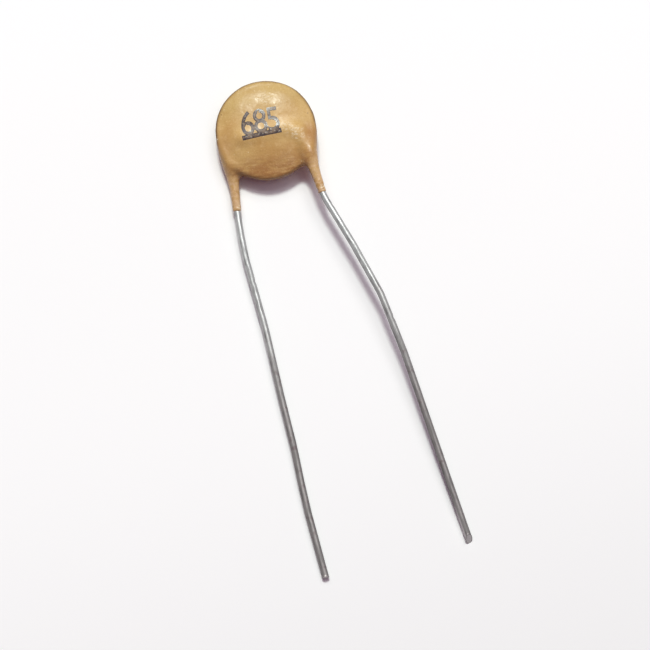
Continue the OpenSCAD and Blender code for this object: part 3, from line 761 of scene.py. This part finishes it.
class CAPACITOR_OT_coat(bpy.types.Operator):
    """Makes the dipped coat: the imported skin, refined, ruffled and pierced again for what it holds"""
    bl_idname = "capacitor.coat"
    bl_label = "Coat"

    def execute(self, context):
        props = context.scene.capacitor_coat
        source = frame["nodes"]["coating"]
        coat = bpy.data.objects.new("resin_coat", source.data.copy())
        context.scene.collection.objects.link(coat)
        hollow = self.part_hollow(coat)
        modify(coat, "SUBSURF", levels=2, render_levels=2)
        modify(coat, "REMESH", mode="VOXEL", voxel_size=props.grain)
        modify(coat, "SMOOTH", factor=0.5, iterations=6)

        press(coat, *SWELL)
        ruffle(coat, 1.6, props.unevenness)
        ruffle(coat, 0.35, props.peel)
        # Wrinkles in an oval near the top of the front face, and level ripples low down on it
        crinkled = paint_group(coat, "crinkled", lambda p: p.z > 0 and falloff(
            math.hypot((p.x - 0.4) / 1.3, p.y - 2.0), 0.2, 0.75))
        ruffle(coat, 0.17, props.crinkle, crinkled, depth=3)
        sagging = paint_group(coat, "sagging", lambda p: p.z > 0 and falloff(p.y, -2.9, -1.2))
        ruffle(coat, 0.22, props.ripple, sagging, stretch=(4, 1, 1))
        # Lumps down the legs, and broken resin at the chips
        lumpy = paint_group(coat, "lumpy", lambda p: falloff(p.y, -5.2, -3.4))
        ruffle(coat, 0.4, props.lumps, lumpy)
        chipped = paint_group(coat, "chipped", lambda p: falloff(
            min((p - Vector(c)).length for c in CHIPS), 0.05, 0.3))
        ruffle(coat, 0.1, props.chips, chipped)
        rest_on_floor(coat)

        modify(coat, "BOOLEAN", operation="DIFFERENCE", object=hollow, solver="EXACT")
        bpy.data.objects.remove(hollow)
        coat.vertex_groups.clear()
        seat(coat, dipped_resin(props), 40)
        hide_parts("coating")
        return {"FINISHED"}

    def part_hollow(self, coat):
        """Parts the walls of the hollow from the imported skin, closes both, and gives back the hollow as a
        solid that is to be taken out of the coat again."""
        edit(coat, action="SELECT")
        bpy.ops.mesh.remove_doubles(threshold=0.0002 * MM)
        bpy.ops.object.mode_set(mode="OBJECT")
        bpy.ops.mesh.customdata_custom_splitnormals_clear()

        # The square ends of the two legs join the outer skin to the walls of the hollow
        ends_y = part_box("coating")[0][1] + 0.2 * MM
        cut_away(coat, lambda f: f.normal.y < -0.97 and f.center.y < ends_y)
        top = max(coat.data.vertices, key=lambda v: v.co.z).index
        pick(coat, lambda v: v.index == top, "VERT")
        bpy.ops.mesh.select_linked()
        bpy.ops.mesh.select_all(action="INVERT")
        bpy.ops.mesh.separate(type="SELECTED")
        bpy.ops.object.mode_set(mode="OBJECT")
        hollow = next(o for o in bpy.context.selected_objects if o is not coat)
        hollow.name = "hollow"

        # The hollow becomes a closed core that reaches 0.8 mm out past the ends of the legs. The skin runs on
        # 0.24 mm down each wire, because the smoothing draws its ends in
        edit(coat, action="SELECT")
        bpy.ops.mesh.fill_holes(sides=0)
        for side, route in ((1, FRONT_ROUTE), (-1, BACK_ROUTE)):
            down = (Vector(route[2][:3]) - Vector(route[1][:3])).normalized() * MM
            pick(hollow, lambda v: v.co.y < ends_y and (v.co.x - DISC.x) * side > 0, "VERT")
            bpy.ops.mesh.extrude_region_move(TRANSFORM_OT_translate={"value": 0.8 * down})
            pick(coat, lambda f: (
                f.normal.y < -0.9 and f.center.y < ends_y and (f.center.x - DISC.x) * side > 0))
            bpy.ops.mesh.extrude_region_move(TRANSFORM_OT_translate={"value": 0.24 * down})
        edit(hollow, action="SELECT")
        bpy.ops.mesh.fill_holes(sides=0)
        bpy.ops.mesh.select_all(action="SELECT")
        bpy.ops.mesh.normals_make_consistent(inside=False)
        edit(coat, action="SELECT")
        bpy.ops.mesh.normals_make_consistent(inside=False)
        bpy.ops.mesh.tris_convert_to_quads(face_threshold=math.radians(60), shape_threshold=math.radians(60))
        bpy.ops.object.mode_set(mode="OBJECT")
        return hollow


class CAPACITOR_OT_leads(bpy.types.Operator):
    """Makes the two formed leads with their dents and cut tips"""
    bl_idname = "capacitor.leads"
    bl_label = "Leads"

    def execute(self, context):
        props = context.scene.capacitor_leads
        material = tinned_wire(props)
        for node, name, route, cut, flank_shade, flank_highlight in LEADS:
            wire = formed_wire(name, route, props)
            ruffle(wire, 0.9, props.unevenness)
            for place, push, reach in DENTS[name]:
                press(wire, place, push, reach)
            clip_tip(wire, route, *cut)
            rest_on_floor(wire)
            seat(wire, material, 35)
            paint_wire(wire, *flank_shade, flank_highlight, props.diameter / 2)
            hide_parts(node)
        return {"FINISHED"}


class CAPACITOR_OT_stamp(bpy.types.Operator):
    """Stamps the number and the bar under it on the front of the coat"""
    bl_idname = "capacitor.stamp"
    bl_label = "Stamp"

    def execute(self, context):
        props = context.scene.capacitor_stamp
        coat = bpy.data.objects["resin_coat"]
        select_only()
        bpy.ops.object.text_add()
        stamp = context.object
        stamp.name = "stamp"
        stamp.data.body = props.number
        # Set close, and a little bolder than the built-in face
        stamp.data.space_character = 0.88
        stamp.data.offset = 0.008
        stamp.data.resolution_u = 8
        bpy.ops.object.convert(target="MESH")
        stamp = context.object
        # The digits are brought to their size and place
        low, high = (Vector([pick_end(v.co[axis] for v in stamp.data.vertices) for axis in (0, 1)] + [0])
                     for pick_end in (min, max))
        wide, tall = (high - low)[:2]
        corner = Matrix.Translation(DISC + Vector(STAMP_CORNER) * MM) @ Matrix.Rotation(props.slope, 4, "Z")
        stamp.matrix_world = (
            corner @ Matrix.Rotation(STAMP_LEAN, 4, "Z")
            @ Matrix.Diagonal((props.width / wide, props.height / tall, 1, 1)) @ Matrix.Translation(-low))
        select_only(stamp)
        bpy.ops.object.transform_apply(location=True, rotation=True, scale=True)
        bpy.ops.mesh.primitive_plane_add(size=1)
        bar = context.object
        # It runs past the digits a little on both sides, and they dip into it
        bar.matrix_world = (
            corner @ Matrix.Translation(((props.width - 0.04 * MM) / 2, -props.bar / 2 + 0.06 * MM, 0))
            @ Matrix.Diagonal((props.width + 0.1 * MM, props.bar, 1, 1)))
        select_only(bar, stamp)
        bpy.ops.object.transform_apply(location=True, rotation=True, scale=True)
        bpy.ops.object.join()

        # A slab that is cut into fine facets, ragged at its edges, and then only its top kept, with gaps
        # where the ink failed
        modify(stamp, "SOLIDIFY", thickness=0.1 * MM, offset=-1)
        modify(stamp, "REMESH", mode="VOXEL", voxel_size=props.facet)
        ruffle(stamp, 0.14, props.ragged)
        cut_away(stamp, lambda f: f.normal.z < 0.5 or noise.noise(f.center / (0.25 * MM)) > 0.55)
        paint_edge(stamp, 0.035, 0.1)
        modify(stamp, "SHRINKWRAP", target=coat, wrap_method="PROJECT", wrap_mode="ABOVE_SURFACE",
               use_project_z=True, use_negative_direction=True, use_positive_direction=False,
               offset=0.002 * MM)
        modify(stamp, "SOLIDIFY", thickness=props.film, offset=1)
        seat(stamp, stamp_ink(props), 50)
        return {"FINISHED"}


class CAPACITOR_OT_inside(bpy.types.Operator):
    """Gives the ceramic, its electrodes and the solder their materials"""
    bl_idname = "capacitor.inside"
    bl_label = "Inside"

    def execute(self, context):
        props = context.scene.capacitor_inside
        redress("ceramic_disc", fired_ceramic(props))
        silver, solder = silver_paste(props), soft_solder(props)
        for side in ("front", "back"):
            redress(side + "_electrode", silver)
            redress(side + "_solder", solder)
        return {"FINISHED"}


class CAPACITOR_OT_stage(bpy.types.Operator):
    """Makes the camera, the floor and the lights"""
    bl_idname = "capacitor.stage"
    bl_label = "Stage"

    def execute(self, context):
        props = context.scene.capacitor_stage
        turn, tilt = props.view_azimuth, props.view_elevation
        across = Vector((math.cos(turn), -math.sin(turn), 0))
        away = Vector((math.sin(turn), math.cos(turn), 0))
        up = Vector((0, 0, 1))
        forward = math.cos(tilt) * away - math.sin(tilt) * up
        top = math.sin(tilt) * away + math.cos(tilt) * up
        target = Vector((DISC.x, DISC.y, 0)) + Vector(AIM) * MM
        select_only()
        bpy.ops.object.camera_add()
        camera = context.object
        camera.data.lens = props.lens
        camera.data.clip_start = 0.001
        camera.data.clip_end = 20
        camera.matrix_world = Matrix.Translation(target - forward * props.view_distance) @ Matrix(
            (across, top, -forward)).transposed().to_4x4()
        context.scene.camera = camera

        bpy.ops.mesh.primitive_plane_add(size=4)
        floor = context.object
        floor.name = "floor"
        floor.data.materials.append(white_paper(props, across, away))
        context.scene.world = studio(props)

        add_lamp("key", turn + props.key_azimuth, props.key_elevation, width=0.18, depth=0.13,
                 power=props.key_power, colour=props.key_colour[:3])
        add_lamp("scrim", turn, props.key_elevation, width=0.9, depth=0.5, power=props.scrim_power)
        add_lamp("softbox", turn + props.softbox_azimuth, props.softbox_elevation, width=0.6, depth=0.6,
                 power=props.softbox_power)
        context.scene.view_settings.view_transform = "Standard"
        return {"FINISHED"}


# ---- The add-on ----

GROUPS = {
    "capacitor_stage": CAPACITOR_PG_stage,
    "capacitor_inside": CAPACITOR_PG_inside,
    "capacitor_leads": CAPACITOR_PG_leads,
    "capacitor_coat": CAPACITOR_PG_coat,
    "capacitor_stamp": CAPACITOR_PG_stamp,
}
OPERATORS = (
    CAPACITOR_OT_stage, CAPACITOR_OT_inside, CAPACITOR_OT_leads, CAPACITOR_OT_coat, CAPACITOR_OT_stamp)


class CAPACITOR_PT_sidebar(bpy.types.Panel):
    bl_label = "Ceramic disc capacitor"
    bl_space_type = "VIEW_3D"
    bl_region_type = "UI"
    bl_category = "Capacitor"

    def draw(self, context):
        for (scene_name, group), operator in zip(GROUPS.items(), OPERATORS):
            box = self.layout.box()
            box.label(text=operator.bl_label)
            for name in group.__annotations__:
                box.prop(getattr(context.scene, scene_name), name)
            box.operator(operator.bl_idname)


CLASSES = (*GROUPS.values(), *OPERATORS, CAPACITOR_PT_sidebar)


def register():
    for c in CLASSES:
        bpy.utils.register_class(c)
    for scene_name, group in GROUPS.items():
        setattr(bpy.types.Scene, scene_name, bpy.props.PointerProperty(type=group))


def unregister():
    for scene_name in GROUPS:
        delattr(bpy.types.Scene, scene_name)
    for c in reversed(CLASSES):
        bpy.utils.unregister_class(c)


def main():
    register()
    bpy.ops.capacitor.stage()
    bpy.ops.capacitor.inside()
    bpy.ops.capacitor.leads()
    bpy.ops.capacitor.coat()
    bpy.ops.capacitor.stamp()


if __name__ == "__main__":
    main()
